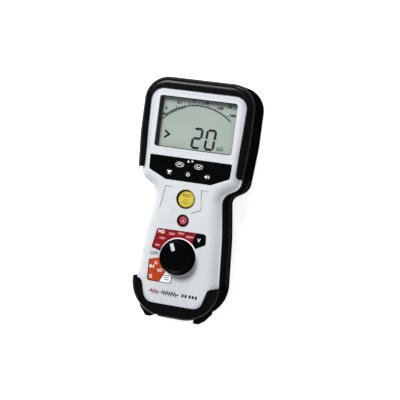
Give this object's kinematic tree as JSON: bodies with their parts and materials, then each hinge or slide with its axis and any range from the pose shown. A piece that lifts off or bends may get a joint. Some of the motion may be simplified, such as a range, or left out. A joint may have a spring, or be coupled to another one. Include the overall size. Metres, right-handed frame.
{
  "type": "insulation resistance tester",
  "caption": "Hand-held insulation resistance tester with a broad display head, narrow grip, rotary range switch, push buttons, rubber bumpers, top sockets and a fold-out rear stand.",
  "frame": {"origin": "middle of the rectangle that the tester covers when it lies on its back, at the surface it lies on", "axes": "+X to the tester's right seen from the front, +Y along its length towards the display and sockets, +Z out of the front face"},
  "size_m": [0.108, 0.228, 0.063],
  "materials": {
    "bumper_rubber": "satin moulded rubber",
    "seal_rubber": "matt",
    "light_shell": "fine moulded grain",
    "dark_shell": "fine moulded grain",
    "dark_trim": "satin",
    "pale_plastic": "satin",
    "key_rubber": "matt",
    "yellow_button": "satin",
    "crimson_button": "satin",
    "label_print": "printed film",
    "clear_lens": "polished",
    "lcd_glass": "smooth",
    "board": "smooth",
    "brass": "turned",
    "steel": "plated",
    "can_metal": "drawn",
    "red_plastic": "satin",
    "blue_plastic": "satin"
  },
  "bodies": {
    "case": {"base_bumper": "bumper_rubber", "battery_cells": "can_metal", "battery_contacts": "steel", "battery_cover": "dark_shell", "battery_cover_screws": "steel", "battery_tray": "dark_shell", "board_header": "dark_trim", "board_pillars": "brass", "buzzer": "dark_trim", "case_screws": "steel", "case_seal": "seal_rubber", "discharge_relays": "pale_plastic", "display_board": "board", "display_lens": "clear_lens", "front_case": "light_shell", "fuse_clips": "brass", "fuses": "pale_plastic", "head_bumper": "bumper_rubber", "key_switches": "dark_trim", "keypad_panel": "dark_trim", "lcd_backlight": "pale_plastic", "lcd_cell": "lcd_glass", "lcd_contact_strips": "key_rubber", "lcd_surround": "dark_trim", "lock_button_ring": "dark_trim", "main_board": "board", "processor": "dark_trim", "range_label": "label_print", "rear_case": "dark_shell", "reservoir_capacitors": "can_metal", "rubber_feet": "bumper_rubber", "socket_contacts": "brass", "socket_guard": "blue_plastic", "socket_negative": "dark_shell", "socket_positive": "red_plastic", "stand_pin": "steel", "switch_housing": "dark_trim", "terminal_block": "dark_shell", "test_button_ring": "dark_trim", "voltage_transformer": "dark_trim"},
    "knob": {"range_knob": "dark_trim", "knob_pointer": "pale_plastic", "knob_shaft": "steel", "switch_rotor": "pale_plastic"},
    "test_button_body": {"test_button": "yellow_button"},
    "lock_button_body": {"lock_button": "crimson_button"},
    "range_up": {"range_up_key": "key_rubber"},
    "range_down": {"range_down_key": "key_rubber"},
    "lamp": {"lamp_key": "key_rubber"},
    "hold": {"hold_key": "key_rubber"},
    "buzzer_mute": {"buzzer_key": "key_rubber"},
    "stand": {"rear_stand": "dark_shell"}
  },
  "joints": [
    {"name": "range_turn", "type": "hinge", "parent": "case", "child": "knob", "pos_m": [0, -0.0533, 0.0534], "axis": [0, 0, 1], "range_deg": [-67.5, 135]},
    {"name": "test_press", "type": "slide", "parent": "case", "child": "test_button_body", "axis": [0, 0, -1], "range_m": [0, 0.0014], "stiffness_N_per_m": 1800},
    {"name": "lock_press", "type": "slide", "parent": "case", "child": "lock_button_body", "axis": [0, 0, -1], "range_m": [0, 0.001], "stiffness_N_per_m": 1800},
    {"name": "range_up_press", "type": "slide", "parent": "case", "child": "range_up", "axis": [0, 0, -1], "range_m": [0, 0.0006], "stiffness_N_per_m": 1500},
    {"name": "range_down_press", "type": "slide", "parent": "case", "child": "range_down", "axis": [0, 0, -1], "range_m": [0, 0.0006], "stiffness_N_per_m": 1500},
    {"name": "lamp_press", "type": "slide", "parent": "case", "child": "lamp", "axis": [0, 0, -1], "range_m": [0, 0.0006], "stiffness_N_per_m": 1500},
    {"name": "hold_press", "type": "slide", "parent": "case", "child": "hold", "axis": [0, 0, -1], "range_m": [0, 0.0006], "stiffness_N_per_m": 1500},
    {"name": "buzzer_press", "type": "slide", "parent": "case", "child": "buzzer_mute", "axis": [0, 0, -1], "range_m": [0, 0.0006], "stiffness_N_per_m": 1500},
    {"name": "stand_fold", "type": "hinge", "parent": "case", "child": "stand", "pos_m": [0, 0.087, 0.006], "axis": [1, 0, 0], "range_deg": [0, 50]}
  ]
}
